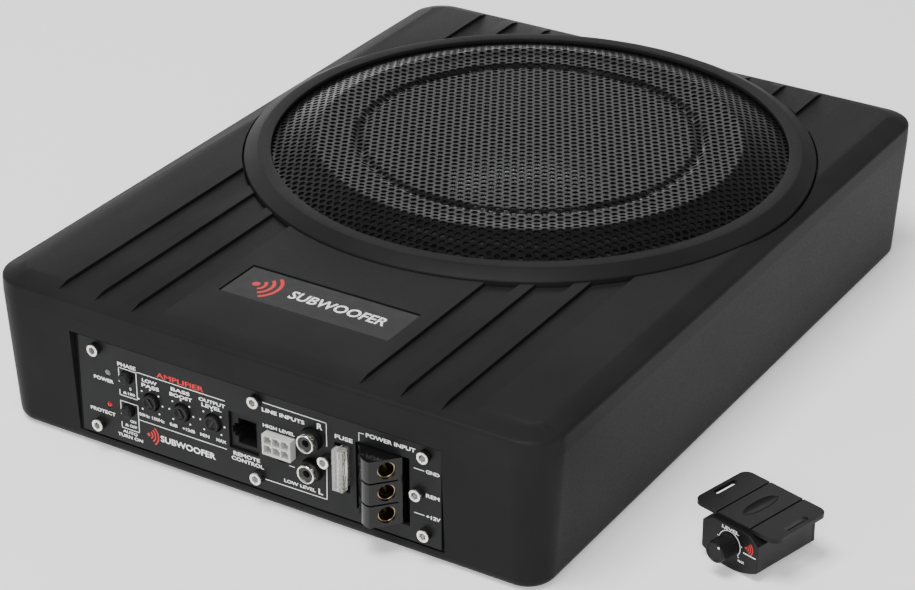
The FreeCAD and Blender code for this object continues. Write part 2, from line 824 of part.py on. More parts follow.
def fuse_parts():
    half = (3.5, 11.0)
    holder = block((FUSE_X - 5.3, face + 2, FUSE_Z - 13), (FUSE_X + 5.3, board, FUSE_Z + 13))
    well = block(
        (FUSE_X - half[0], face, FUSE_Z - half[1]),
        (FUSE_X + half[0], face + 8.0, FUSE_Z + half[1]),
    )
    slots = [
        block((FUSE_X - 0.6, face + 7, z - 3.0), (FUSE_X + 0.6, face + 12.6, z + 3.0))
        for z in (FUSE_Z - 6.8, FUSE_Z + 6.8)
    ]
    node("fuse_holder", cut(holder, well, *slots))
    cap = block((FUSE_X - 2.6, face - 3.9, FUSE_Z - 9.55), (FUSE_X + 2.6, face, FUSE_Z + 9.55))
    waist = block((FUSE_X - 1.9, face, FUSE_Z - 8.8), (FUSE_X + 1.9, face + 7.2, FUSE_Z + 8.8))
    blades = [
        block((FUSE_X - 0.35, face + 7.2, z - 2.6), (FUSE_X + 0.35, face + 12.4, z + 2.6))
        for z in (FUSE_Z - 6.8, FUSE_Z + 6.8)
    ]
    node("fuse", fuse(cap, waist, *blades))


def power_terminal():
    """Wedge-shaped block: wires enter its right face, and clamp screws sit in its left face."""
    low, high = terminal_span()
    outline_points = [
        (TERMINAL_LEFT, face + 3),
        (TERMINAL_LEFT, face),
        (SHOULDER_X, face - SHOULDER_DEPTH),
        (SHOULDER_X + 0.9, face - SHOULDER_DEPTH - 0.9),
        (SHOULDER_X + 2.2, face - SHOULDER_DEPTH - 1.7),
        (SHOULDER_X + 3.9, face - TERMINAL_DEPTH + 0.2),
        (TERMINAL_APEX, face - TERMINAL_DEPTH),
        (TERMINAL_RIGHT, face),
        (TERMINAL_RIGHT, face + 3),
    ]
    wedge = raised("wedge", outline_points, high - low, low)
    base = block((TERMINAL_LEFT, face + 2.9, low), (TERMINAL_RIGHT, board, high))
    run = TERMINAL_RIGHT - TERMINAL_APEX
    length = math.hypot(run, TERMINAL_DEPTH)
    inward = (-TERMINAL_DEPTH / length, run / length, 0.0)
    mouth_x = (TERMINAL_APEX + TERMINAL_RIGHT) / 2 + 0.3
    mouth_y = face - TERMINAL_DEPTH / 2 + 0.3
    rise = SHOULDER_X - TERMINAL_LEFT
    slope = math.hypot(rise, SHOULDER_DEPTH)
    down = (SHOULDER_DEPTH / slope, rise / slope, 0.0)
    key_x = TERMINAL_LEFT + rise * 0.5
    key_y = face - SHOULDER_DEPTH * 0.5
    holes = []
    barrels = []
    for name, step in TERMINAL_WIRES.items():
        height = d.terminal_middle + d.terminal_pitch * step
        start = (mouth_x - inward[0] * 2, mouth_y - inward[1] * 2, height)
        holes.append(pin_along(start, inward, 3.75, 11.0))
        barrel_start = (mouth_x + inward[0], mouth_y + inward[1], height)
        barrel = pin_along(barrel_start, inward, 3.75, 8.0)
        bore = pin_along(barrel_start, inward, 3.2, 8.0)
        barrels.append(cut(barrel, bore))
        key_start = (key_x - down[0] * 2, key_y - down[1] * 2, height)
        holes.append(pin_along(key_start, down, 2.5, 4.2))
        screw_start = (key_x + down[0] * 0.6, key_y + down[1] * 0.6, height)
        head = pin_along(screw_start, down, 2.2, 1.5)
        socket = doc.addObject("Part::Prism", "socket")
        socket.Polygon = 6
        bind(socket, "Circumradius", 1.3)
        bind(socket, "Height", 1.0)
        place(socket, screw_start, Rotation(Vector(0, 0, 1), Vector(*down)))
        node(f"{name}_clamp_screw", cut(head, socket))
    seams = [
        block(
            (TERMINAL_LEFT - 1, face - TERMINAL_DEPTH - 1, d.terminal_middle + side - 0.3),
            (TERMINAL_RIGHT + 1, face - 1.2, d.terminal_middle + side + 0.3),
        )
        for side in (d.terminal_pitch / 2, -d.terminal_pitch / 2)
    ]
    core_points = [
        (TERMINAL_LEFT + 0.7, face + 1),
        (TERMINAL_LEFT + 0.7, face),
        (SHOULDER_X + 0.7, face - SHOULDER_DEPTH + 0.4),
        (TERMINAL_APEX - 0.4, face - TERMINAL_DEPTH + 1.0),
        (TERMINAL_RIGHT - 0.7, face),
        (TERMINAL_RIGHT - 0.7, face + 1),
    ]
    notch = cut(fuse(*seams), raised("wedge_core", core_points, high - low, low))
    node("power_terminal", cut(fuse(wedge, base), *holes, notch))
    node("terminal_barrels", group(*barrels))


# ---------------------------------------------------------------- amplifier


def amplifier():
    control = block((-84.0, board, 9.0), (75.5, board + 1.6, 50.0))
    node("control_board", control)
    main = block((-112.0, -154.0, BOARD_LOW), (112.0, -86.0, BOARD_LOW + 1.6))
    node("amp_board", main)
    top = BOARD_LOW + 1.6
    spreader = fuse(
        block((-104.0, -90.0, top), (104.0, -84.0, top + 34.0)),
        block((-104.0, -84.0, top + 28.0), (104.0, -74.0, top + 34.0)),
    )
    node("heat_spreader", spreader)
    packages = []
    for index in range(6):
        x = -80.0 + 32.0 * index
        packages.append(block((x - 7.5, -94.5, top + 4), (x + 7.5, -90.0, top + 24)))
    node("power_transistors", group(*packages))
    cans = [rod((-84.0 + 23.0 * index, -122.0, top), 9.0, 32.0) for index in range(4)]
    node("reservoir_capacitors", group(*cans))
    ring = doc.addObject("Part::Torus", "ring")
    bind(ring, "Radius1", 17.0)
    bind(ring, "Radius2", 8.0)
    place(ring, (52.0, -120.0, top + 7.8))
    node("supply_transformer", common(ring, block((20.0, -150.0, top), (84.0, -90.0, 60.0))))


# ---------------------------------------------------------------- level control


def remote_at(x, y, z):
    """A point of the level control, which stands turned beside the cabinet."""
    angle = math.radians(DIMENSIONS["remote_turn"])
    return (
        d.remote_right + size(x) * math.cos(angle) - size(y) * math.sin(angle),
        -d.remote_front + size(x) * math.sin(angle) + size(y) * math.cos(angle),
        z,
    )


def remote_box(middle, spans):
    """A box of the level control from the middle of its base."""
    return slab(remote_at(*middle), spans, DIMENSIONS["remote_turn"])


def remote_prism(name, points, start, length):
    """An outline in the level control's front plane, carried backwards."""
    turn = Rotation(Vector(0, 0, 1), DIMENSIONS["remote_turn"])
    body = new_body(name, remote_at(0.0, size(start) + length, 0.0), turn)
    sketch = outline(body, points)
    pad = body.newObject("PartDesign::Pad", "pad")
    pad.Profile = sketch
    bind(pad, "Length", length)
    return body


REMOTE_KNOB_Z = 11.4
BELLY = 4.0
BRACKET_LOW = 19.7
SLOT_X = 18.4
SLOT_LENGTH = 13.0
SLOT_WIDTH = 2.6


def remote_section(inset):
    """The case's section: straight sides, sloped shoulders and a bellied underside."""
    half = d.remote_width / 2 - inset
    return [
        (-half, BELLY + inset * 0.6),
        (half, BELLY + inset * 0.6, (0.0, size(inset))),
        (half, 16.3 - inset * 0.3),
        (half - 5.4, BRACKET_LOW - inset),
        (-half + 5.4, BRACKET_LOW - inset),
        (-half, 16.3 - inset * 0.3),
    ]


def level_control():
    turn = DIMENSIONS["remote_turn"]
    half = d.remote_depth / 2
    shell = remote_prism("remote_shell", remote_section(0.0), -half, d.remote_depth - 1.6)
    hollow = remote_prism("remote_hollow", remote_section(1.6), 1.6 - half, d.remote_depth)
    along = Rotation(Vector(0, 0, 1), turn).multiply(TOWARDS["+Y"])
    bush = rod(remote_at(0.0, -half - 1, REMOTE_KNOB_Z), 3.3, 4.0, along)
    node("remote_case", cut(shell, hollow, bush))
    back = remote_prism("remote_back_plate", remote_section(0.0), half - 1.6, 1.6)
    window = remote_box((0.0, half - 0.8, 6.5), (7.4, 4.0, 6.4))
    node("remote_back", cut(back, window))
    plate = remote_box((0.0, 0.25, BRACKET_LOW), (43.0, 31.5, 1.8))
    doc.recompute()
    corners = [f"Edge{i + 1}" for i, edge in enumerate(plate.Shape.Edges) if upright(edge)]
    rounded = doc.addObject("Part::Fillet", "bracket_corners")
    rounded.Base = plate
    rounded.Edges = [(int(name[4:]), 4.0, 4.0) for name in corners]
    slots = []
    for side in (-1, 1):
        middle = (SLOT_X * side, 0.25, BRACKET_LOW - 1)
        slots.append(remote_box(middle, (SLOT_WIDTH, SLOT_LENGTH - SLOT_WIDTH, 4.0)))
        for end in (-1, 1):
            y = 0.25 + (SLOT_LENGTH - SLOT_WIDTH) / 2 * end
            slots.append(rod(remote_at(SLOT_X * side, y, BRACKET_LOW - 1), SLOT_WIDTH / 2, 4.0))
        slots.append(remote_box((8.6 * side, 0.25, BRACKET_LOW + 1.2), (0.8, 40.0, 2.0)))
    dish = doc.addObject("Part::Ellipsoid", "dish")
    for prop, radius in zip(("Radius1", "Radius2", "Radius3"), (0.8, 3.2, 10.0)):
        bind(dish, prop, radius)
    turned_way = Rotation(Vector(0, 0, 1), turn)
    place(dish, remote_at(0.0, 0.25, BRACKET_LOW + 1.8), turned_way)
    node("remote_bracket", cut(rounded, dish, *slots))
    pot = remote_box((0.0, 2.5 - half + 4, REMOTE_KNOB_Z - 5), (10.0, 7.0, 10.0))
    bore = rod(remote_at(0.0, -half + 2, REMOTE_KNOB_Z), 2.05, 7.0, along)
    node("remote_pot", cut(pot, bore))
    knob = fuse(
        rod(remote_at(0.0, -half - 9.0, REMOTE_KNOB_Z), 4.7, 8.6, along),
        rod(remote_at(0.0, -half - 0.4, REMOTE_KNOB_Z), 2.0, 7.5, along),
    )
    node("remote_knob", knob)
    node("remote_board", remote_box((0.0, 4.0, 4.6), (20.0, 16.0, 1.2)))
    socket = remote_box((0.0, half - 6.2, 5.8), (9.0, 9.0, 8.0))
    mouth = remote_box((0.0, half - 3.0, 6.5), (7.0, 8.0, 6.0))
    node("remote_socket", cut(socket, mouth))


def upright(edge):
    box = edge.BoundBox
    return box.ZLength > 1.0 and box.XLength < 0.01 and box.YLength < 0.01


# ---------------------------------------------------------------- build and export


def check_document():
    """Stop if any object failed or any sub-part has no sound shape."""
    for obj in doc.Objects:
        if "Invalid" in obj.State or "Error" in obj.State:
            raise SystemExit(f"{obj.Label} did not recompute: {obj.State}")
    for name, obj in nodes.items():
        if obj.Shape.isNull() or not obj.Shape.isValid() or not obj.Shape.Solids:
            raise SystemExit(f"{name} has no sound shape")


def export_parts():
    for name, obj in nodes.items():
        obj.Shape.exportStep(f"parts/{name}.step")
        box = obj.Shape.BoundBox
        spans = f"{box.XLength:.1f} x {box.YLength:.1f} x {box.ZLength:.1f}"
        print(f"{name}: {len(obj.Shape.Solids)} solids, {spans}, {obj.Shape.Volume:.0f} mm3")


for make in (
    lower_tub,
    top_cover,
    cabinet_trim,
    grille,
    woofer_frame,
    moving_assembly,
    motor,
    control_panel,
    lamps,
    buttons,
    potentiometers,
    remote_jack,
    input_header,
    line_inputs,
    fuse_parts,
    power_terminal,
    amplifier,
    level_control,
):
    make()
doc.recompute()
check_document()
export_parts()
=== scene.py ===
import math

import bmesh
import bpy
from mathutils import Matrix, Vector
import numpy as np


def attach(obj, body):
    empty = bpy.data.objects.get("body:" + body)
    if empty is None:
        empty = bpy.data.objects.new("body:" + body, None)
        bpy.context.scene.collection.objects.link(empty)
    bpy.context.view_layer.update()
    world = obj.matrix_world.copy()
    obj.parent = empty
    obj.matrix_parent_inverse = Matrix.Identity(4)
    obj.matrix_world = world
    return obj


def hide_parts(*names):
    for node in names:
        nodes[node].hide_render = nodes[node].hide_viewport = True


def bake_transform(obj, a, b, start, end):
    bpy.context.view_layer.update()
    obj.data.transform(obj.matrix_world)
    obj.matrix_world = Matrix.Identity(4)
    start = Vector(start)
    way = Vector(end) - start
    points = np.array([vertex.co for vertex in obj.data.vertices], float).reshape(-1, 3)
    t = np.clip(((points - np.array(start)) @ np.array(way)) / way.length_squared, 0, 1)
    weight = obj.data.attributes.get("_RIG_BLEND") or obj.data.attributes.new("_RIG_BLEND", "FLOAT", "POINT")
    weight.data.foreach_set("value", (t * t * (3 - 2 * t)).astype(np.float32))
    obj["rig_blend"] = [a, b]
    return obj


# Looks of a powered under-seat car subwoofer and its loose level control. Lengths are written in
# millimetres and scaled by MM; the model's own units are metres.

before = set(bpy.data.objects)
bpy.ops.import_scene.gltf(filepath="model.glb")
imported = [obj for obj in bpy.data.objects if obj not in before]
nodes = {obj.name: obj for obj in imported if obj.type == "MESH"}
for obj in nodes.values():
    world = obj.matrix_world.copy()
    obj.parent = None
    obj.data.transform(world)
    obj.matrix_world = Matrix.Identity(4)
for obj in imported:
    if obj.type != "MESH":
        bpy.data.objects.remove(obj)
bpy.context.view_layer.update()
MM = 0.001
scene = bpy.context.scene


# ---------------------------------------------------------------- camera

EYE = (568.45, -945.56, 614.38)
LOOKS_AT = (10.5, -35.85, 36.0)
FOCAL_LENGTH = 109.04


def aimed(place, target):
    """Where something stands that looks from a place towards a target."""
    turn = (Vector(target) - Vector(place)).to_track_quat("-Z", "Y").to_matrix().to_4x4()
    return Matrix.Translation(place) @ turn


def make_camera():
    """Stand the camera where the photograph was taken from."""
    data = bpy.data.cameras.new("camera")
    data.sensor_width = 36.0
    data.lens = FOCAL_LENGTH
    data.clip_start = 0.05
    data.clip_end = 40.0
    camera = bpy.data.objects.new("camera", data)
    scene.collection.objects.link(camera)
    camera.matrix_world = aimed(Vector(EYE) * MM, Vector(LOOKS_AT) * MM)
    scene.camera = camera


make_camera()


# ---------------------------------------------------------------- materials

class Surface:
    """A principled material built up from layers of procedural texture."""

    def __init__(self, name, colour, rough, metal=0.0):
        self.material = bpy.data.materials.new(name)
        self.material.use_nodes = True
        self.tree = self.material.node_tree
        self.shader = self.tree.nodes["Principled BSDF"]
        self.coords = self.tree.nodes.new("ShaderNodeTexCoord")
        self.colour = colour
        self.rough = rough
        self.shader.inputs["Base Color"].default_value = (*colour, 1.0)
        self.shader.inputs["Roughness"].default_value = rough
        self.shader.inputs["Metallic"].default_value = metal
        self.normal = None

    def link(self, start, end):
        self.tree.links.new(start, end)

    def noise(self, scale, detail=2.0, stretch=(1.0, 1.0, 1.0)):
        mapping = self.tree.nodes.new("ShaderNodeMapping")
        mapping.inputs["Scale"].default_value = stretch
        texture = self.tree.nodes.new("ShaderNodeTexNoise")
        texture.inputs["Scale"].default_value = scale
        texture.inputs["Detail"].default_value = detail
        self.link(self.coords.outputs["Object"], mapping.inputs["Vector"])
        self.link(mapping.outputs["Vector"], texture.inputs["Vector"])
        return texture.outputs["Fac"]

    def ranged(self, value, low, high):
        """The middle of a noise value's spread, stretched between two numbers."""
        remap = self.tree.nodes.new("ShaderNodeMapRange")
        remap.inputs["From Min"].default_value = 0.3
        remap.inputs["From Max"].default_value = 0.7
        remap.inputs["To Min"].default_value = low
        remap.inputs["To Max"].default_value = high
        self.link(value, remap.inputs["Value"])
        return remap.outputs["Result"]

    def mottle(self, value, spread):
        """Colour that drifts between a darker and a lighter tone."""
        mix = self.tree.nodes.new("ShaderNodeMix")
        mix.data_type = "RGBA"
        mix.inputs["A"].default_value = (*[c * (1 - spread) for c in self.colour], 1.0)
        mix.inputs["B"].default_value = (*[min(1.0, c * (1 + spread)) for c in self.colour], 1.0)
        self.link(self.ranged(value, 0.0, 1.0), mix.inputs["Factor"])
        self.link(mix.outputs["Result"], self.shader.inputs["Base Color"])
        return self

    def uneven(self, value, spread):
        """Roughness that drifts about its middle."""
        result = self.ranged(value, self.rough - spread, self.rough + spread)
        self.link(result, self.shader.inputs["Roughness"])
        return self

    def relief(self, value, strength, depth):
        """Fine bumps, on top of any that the surface already has."""
        bump = self.tree.nodes.new("ShaderNodeBump")
        bump.inputs["Strength"].default_value = strength
        bump.inputs["Distance"].default_value = depth
        self.link(value, bump.inputs["Height"])
        if self.normal:
            self.link(self.normal, bump.inputs["Normal"])
        self.normal = bump.outputs["Normal"]
        self.link(self.normal, self.shader.inputs["Normal"])
        return self

    def set(self, socket, value):
        """One value for the whole surface, on the shader's own socket."""
        self.shader.inputs[socket].default_value = value
        return self


def moulded(name, colour, rough, grain=1400.0, depth=0.00004, strength=0.5):
    """Fine-textured plastic: soft mottling, uneven sheen and a spark-eroded grain."""
    surface = Surface(name, colour, rough)
    wide = surface.noise(26.0, 4.0)
    fine = surface.noise(grain, 2.0)
    return surface.mottle(wide, 0.14).uneven(fine, 0.07).relief(fine, strength, depth)


def metal(name, colour, rough, grain=900.0, stretch=(1.0, 1.0, 1.0), depth=0.000008):
    """Bare or plated metal with fine marks."""
    surface = Surface(name, colour, rough, 1.0)
    marks = surface.noise(grain, 3.0, stretch)
    wide = surface.noise(60.0, 3.0)
    return surface.mottle(wide, 0.08).uneven(marks, 0.07).relief(marks, 0.35, depth)


def gloss(name, colour, rough):
    """Glossy moulding with a slight orange peel."""
    surface = Surface(name, colour, rough)
    peel = surface.noise(260.0, 2.0)
    wide = surface.noise(40.0, 3.0)
    return surface.mottle(wide, 0.1).uneven(peel, 0.04).relief(peel, 0.25, 0.00003)


def woven(name, colour, rough, scale=700.0):
    """Cloth or pulp with crossed fibres."""
    surface = Surface(name, colour, rough)
    warp = surface.noise(scale, 2.0, (1.0, 0.12, 1.0))
    weft = surface.noise(scale, 2.0, (0.12, 1.0, 1.0))
    return surface.mottle(warp, 0.25).uneven(weft, 0.05).relief(warp, 0.6, 0.0001).relief(
        weft, 0.6, 0.0001
    )


def clear(name, colour, rough, through):
    """Tinted clear plastic."""
    surface = gloss(name, colour, rough)
    return surface.set("Transmission Weight", through).set("IOR", 1.49)


CABINET = moulded("cabinet_plastic", (0.0125, 0.0125, 0.0128), 0.46)
CABINET.set("Specular IOR Level", 0.05)
RUBBER = moulded("seal_rubber", (0.012, 0.012, 0.012), 0.72, 500.0, 0.00008)
# Dark screw steel; the same material is also laid as painted shade on the panel screws' sides and in their
# sockets.
DARK_STEEL_AND_SHADE = metal("screw_steel", (0.10, 0.10, 0.10), 0.35)
NICKEL = metal("nickel", (0.90, 0.88, 0.82), 0.22, 300.0, (1.0, 1.0, 1.0), 0.000002)
BRASS = metal("brass", (0.78, 0.58, 0.26), 0.28)
BADGE = gloss("badge", (0.005, 0.005, 0.006), 0.16)
BADGE.set("Specular IOR Level", 0.06)
GRILLE = gloss("grille_steel", (0.005, 0.005, 0.005), 0.30)
GRILLE.set("Specular IOR Level", 0.16)
FRAME = moulded("frame_metal", (0.016, 0.016, 0.017), 0.42, 900.0)
CONE = woven("cone_paper", (0.018, 0.018, 0.020), 0.60)
DUST_CAP = metal("dust_cap_plastic", (0.75, 0.75, 0.76), 0.26)
COIL = metal("coil", (0.70, 0.36, 0.16), 0.30, 1500.0, (0.1, 0.1, 4.0))
SPIDER = woven("spider_cloth", (0.55, 0.38, 0.14), 0.85)
ZINC = metal("motor_steel", (0.55, 0.55, 0.56), 0.34)
FERRITE = moulded("ferrite", (0.035, 0.035, 0.038), 0.62, 300.0, 0.00012)
PANEL = moulded("panel_metal", (0.0075, 0.0078, 0.0082), 0.44, 2200.0, 0.00002)
PANEL.set("Specular IOR Level", 0.18)
CLEAR_LAMP = clear("clear_lamp", (0.80, 0.82, 0.84), 0.10, 0.85)
RED_LAMP = clear("red_lamp", (0.55, 0.008, 0.010), 0.10, 0.45)
PLASTIC = moulded("black_plastic", (0.008, 0.008, 0.008), 0.36, 1800.0, 0.00003)
PLASTIC.set("Specular IOR Level", 0.15)
SHINY = gloss("terminal_plastic", (0.005, 0.005, 0.005), 0.14)
SHINY.set("Specular IOR Level", 0.30)
CAN = metal("pot_metal", (0.62, 0.62, 0.60), 0.30, 500.0, (1.0, 0.15, 1.0))
NYLON = gloss("header_nylon", (0.48, 0.48, 0.47), 0.34)
NYLON.set("Subsurface Weight", 0.35).set("Subsurface Radius", (0.004, 0.004, 0.004))
CORE = moulded("socket_plastic", (0.010, 0.010, 0.010), 0.5, 1500.0)
FUSE_BODY = clear("fuse_plastic", (0.86, 0.86, 0.82), 0.12, 0.82)
FUSE_METAL = metal("fuse_metal", (0.78, 0.77, 0.74), 0.25)
GOLD = metal("contact_gold", (0.88, 0.62, 0.22), 0.22)
MASK = moulded("circuit_board", (0.012, 0.10, 0.04), 0.35, 300.0, 0.00006)
ALUMINIUM = metal("aluminium", (0.72, 0.73, 0.74), 0.32, 400.0, (0.1, 1.0, 1.0))
EPOXY = moulded("component_epoxy", (0.02, 0.02, 0.02), 0.5, 900.0)
COPPER = metal("transformer_wire", (0.66, 0.30, 0.12), 0.3, 600.0, (1.0, 1.0, 0.2))
# Terminal barrels: the golden hue is the metal's own, and the tone far below brass is painted shade inside
# the terminal holes.
BARREL_BRASS_AND_SHADE = metal("terminal_barrel", (0.34, 0.26, 0.16), 0.18)
INK = moulded("white_ink", (0.90, 0.90, 0.90), 0.55, 1500.0, 0.00001)
RED_INK = moulded("red_ink", (0.50, 0.006, 0.006), 0.5, 1500.0, 0.00001)
SILVER_INK = metal("silver_ink", (0.80, 0.80, 0.80), 0.3, 700.0)

LOOKS = {
    CABINET: ("lower_tub", "top_cover"),
    RUBBER: ("cover_seal", "frame_gasket", "surround"),
    DARK_STEEL_AND_SHADE: ("case_screws", "woofer_screws"),
    NICKEL: (
        "panel_screws", "ground_clamp_screw", "remote_clamp_screw", "supply_clamp_screw",
        "header_pins",
    ),
    BARREL_BRASS_AND_SHADE: ("terminal_barrels",),
    BRASS: ("base_inserts",),
    BADGE: ("badge_plate",),
    FRAME: ("woofer_frame",),
    CONE: ("cone",),
    DUST_CAP: ("dust_cap",),
    COIL: ("voice_coil",),
    SPIDER: ("spider",),
    ZINC: ("top_plate", "back_plate"),
    FERRITE: ("magnet",),
    PANEL: ("control_panel",),
    CLEAR_LAMP: ("power_lamp",),
    RED_LAMP: ("protect_lamp",),
    PLASTIC: (
        "phase_button", "phase_switch", "turn_on_button", "turn_on_switch", "remote_jack",
        "rca_housing", "fuse_holder", "remote_case", "remote_back", "remote_bracket",
        "remote_socket",
    ),
    SHINY: ("power_terminal",),
    CAN: ("low_pass_pot", "bass_boost_pot", "output_level_pot", "remote_pot"),
    NYLON: ("input_header",),
    CORE: ("rca_cores",),
    MASK: ("control_board", "amp_board", "remote_board"),
    ALUMINIUM: ("heat_spreader", "reservoir_capacitors"),
    EPOXY: ("power_transistors",),
    COPPER: ("supply_transformer",),
}

# Edge roundings in millimetres, and the one for every node that isn't named.
EDGE = 0.15
EDGES = {
    "lower_tub": 0.8, "top_cover": 0.6, "control_panel": 0.2, "power_terminal": 0.4,
    "input_header": 0.25, "remote_case": 0.35, "remote_bracket": 0.35, "remote_back": 0.3,
    "panel_screws": 0.22, "remote_jack": 0.2, "phase_button": 0.35, "turn_on_button": 0.35,
}


# ---------------------------------------------------------------- shading of the CAD's own nodes

def node_group(name):
    group = bpy.data.node_groups.new(name, "GeometryNodeTree")
    group.interface.new_socket("Geometry", in_out="INPUT", socket_type="NodeSocketGeometry")
    group.interface.new_socket("Geometry", in_out="OUTPUT", socket_type="NodeSocketGeometry")
    return group, group.nodes.new("NodeGroupInput"), group.nodes.new("NodeGroupOutput")


def cleaning_group():
    """Drops imported corner normals and joins vertices that lie in one place."""
    group, start, end = node_group("clean_mesh")
    drop = group.nodes.new("GeometryNodeRemoveAttribute")
    drop.inputs["Name"].default_value = "custom_normal"
    merge = group.nodes.new("GeometryNodeMergeByDistance")
    merge.inputs["Distance"].default_value = 0.000002
    group.links.new(start.outputs[0], drop.inputs["Geometry"])
    group.links.new(drop.outputs["Geometry"], merge.inputs["Geometry"])
    group.links.new(merge.outputs["Geometry"], end.inputs[0])
    return group


def shading_group(degrees):
    """Smooth faces, with edges sharper than an angle kept sharp."""
    group, start, end = node_group(f"shade_{degrees:.0f}")
    smooth = group.nodes.new("GeometryNodeSetShadeSmooth")
    sharp = group.nodes.new("GeometryNodeSetShadeSmooth")
    sharp.domain = "EDGE"
    sharp.inputs["Shade Smooth"].default_value = False
    angle = group.nodes.new("GeometryNodeInputMeshEdgeAngle")
    compare = group.nodes.new("FunctionNodeCompare")
    compare.operation = "GREATER_THAN"
    compare.inputs[1].default_value = math.radians(degrees)
    group.links.new(start.outputs[0], smooth.inputs["Geometry"])
    group.links.new(smooth.outputs["Geometry"], sharp.inputs["Geometry"])
    group.links.new(angle.outputs["Unsigned Angle"], compare.inputs[0])
    group.links.new(compare.outputs["Result"], sharp.inputs["Selection"])
    group.links.new(sharp.outputs["Geometry"], end.inputs[0])
    return group


CLEAN = cleaning_group()
SHADE = shading_group(32.0)


def add_group(obj, group):
    modifier = obj.modifiers.new(group.name, "NODES")
    modifier.node_group = group


def round_edges(obj, width, angle=34.0):
    """Bevel the edges that are sharper than an angle."""
    bevel = obj.modifiers.new("edges", "BEVEL")
    bevel.width = width * MM
    bevel.segments = 3
    bevel.limit_method = "ANGLE"
    bevel.angle_limit = math.radians(angle)
    bevel.harden_normals = False


def dress(obj, surface, width):
    """A CAD node keeps its shape, and gets joined faces, soft edges and a material."""
    obj.data.materials.clear()
    obj.data.materials.append(surface.material)
    add_group(obj, CLEAN)
    flat = obj.modifiers.new("flats", "DECIMATE")
    flat.decimate_type = "DISSOLVE"
    flat.angle_limit = math.radians(0.6)
    round_edges(obj, width)
    add_group(obj, SHADE)
    weigh = obj.modifiers.new("flat_normals", "WEIGHTED_NORMAL")
    weigh.keep_sharp = True


for surface, names in LOOKS.items():
    for name in names:
        dress(nodes[name], surface, EDGES.get(name, EDGE))


# ---------------------------------------------------------------- making new pieces

WELD_DISTANCE = 1e-7


def piece(name, mesh, surface, body, replaced=()):
    """A new object that rides on a CAD body, and takes the place of the nodes it replaces."""
    obj = bpy.data.objects.new(name, mesh)
    scene.collection.objects.link(obj)
    mesh.materials.append(surface.material)
    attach(obj, body)
    if replaced:
        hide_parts(*replaced)
    return obj


def mesh_from(name, points, faces, weld=False):
    """A mesh of points in millimetres with its faces turned outwards."""
    mesh = bpy.data.meshes.new(name)
    mesh.from_pydata([tuple(c * MM for c in point) for point in points], [], faces)
    build = bmesh.new()
    build.from_mesh(mesh)
    if weld:
        bmesh.ops.remove_doubles(build, verts=build.verts, dist=WELD_DISTANCE)
    bmesh.ops.recalc_face_normals(build, faces=build.faces)
    build.to_mesh(mesh)
    build.free()
    return mesh


def revolved(name, profile, steps, place, wave=None):
    """A closed profile of (radius, height) points turned about Z; wave shapes the radius."""
    points = []
    for step in range(steps):
        angle = 2 * math.pi * step / steps
        for radius, height in profile:
            reach = radius * (wave(angle, radius, height) if wave else 1.0)
            points.append(place @ Vector((reach * math.cos(angle), reach * math.sin(angle), height)))
    count = len(profile)
    faces = []
    for step in range(steps):
        after = (step + 1) % steps
        for index in range(count):
            follow = (index + 1) % count
            if profile[index][0] == 0 and profile[follow][0] == 0:
                continue
            faces.append((
                step * count + index, after * count + index,
                after * count + follow, step * count + follow,
            ))
    return mesh_from(name, points, faces, weld=True)


def block_mesh(build, low, high):
    """Add a box to a bmesh, and return its corners."""
    made = bmesh.ops.create_cube(build, size=1.0)
    for vertex in made["verts"]:
        for axis in range(3):
            middle = (low[axis] + high[axis]) / 2
            vertex.co[axis] = (middle + vertex.co[axis] * (high[axis] - low[axis])) * MM
    return made["verts"]


# ---------------------------------------------------------------- woofer

WOOFER = (0.0, 44.0)
GRILLE_TOP = (
    (0.0, 78.6), (75.2, 78.4), (76.6, 77.4), (78.4, 77.4), (80.0, 79.0), (87.3, 78.8),
    (96.5, 80.0), (116.0, 73.7), (119.2, 73.5),
)
GRILLE_RIM = GRILLE_TOP[-1][0]
SHEET_RADIUS = 119.0
LAST_HOLE = 118.0
HEIGHT_LIMIT = 79.98
SHEET = 0.9
HOLE_PITCH = 3.85
HOLE_RADIUS = 1.48


def grille_height(radius):
    """Height of the sheet's upper side, with its folds eased over 1.6 mm."""
    total = 0.0
    for step in range(-2, 3):
        at = min(abs(radius + step * 0.4), GRILLE_RIM)
        for (r0, z0), (r1, z1) in zip(GRILLE_TOP, GRILLE_TOP[1:]):
            if at <= r1:
                total += z0 + (z1 - z0) * (at - r0) / (r1 - r0)
                break
    return min(total / 5, HEIGHT_LIMIT)


def grille():
    """Perforated sheet: one six-sided cell with a hole for each point of a triangular lattice."""
    points, lookup, faces = [], {}, []

    def point(x, y):
        key = (round(x, 3), round(y, 3))
        if key not in lookup:
            radius = math.hypot(x, y)
            squeeze = min(1.0, SHEET_RADIUS / radius) if radius else 1.0
            height = grille_height(radius * squeeze)
            lookup[key] = len(points)
            points.append((x * squeeze + WOOFER[0], y * squeeze + WOOFER[1], height))
        return lookup[key]

    rows = int(LAST_HOLE / (HOLE_PITCH * math.sqrt(3) / 2)) + 1
    corner = HOLE_PITCH / math.sqrt(3)
    ring = [math.radians(30 + 60 * k) for k in range(6)]
    for row in range(-rows, rows + 1):
        for column in range(-2 * rows, 2 * rows + 1):
            x = HOLE_PITCH * (column + row / 2)
            y = HOLE_PITCH * row * math.sqrt(3) / 2
            if math.hypot(x, y) > LAST_HOLE:
                continue
            outer = [point(x + corner * math.cos(a), y + corner * math.sin(a)) for a in ring]
            inner = [
                point(x + HOLE_RADIUS * math.cos(a), y + HOLE_RADIUS * math.sin(a)) for a in ring
            ]
            for k in range(6):
                after = (k + 1) % 6
                faces.append((outer[k], outer[after], inner[after], inner[k]))
    mesh = mesh_from("grille_mesh", points, faces)
    obj = piece("perforated_grille", mesh, GRILLE, "cabinet", ("grille",))
    sheet = obj.modifiers.new("sheet", "SOLIDIFY")
    sheet.thickness = SHEET * MM
    sheet.offset = -1.0
    add_group(obj, SHADE)


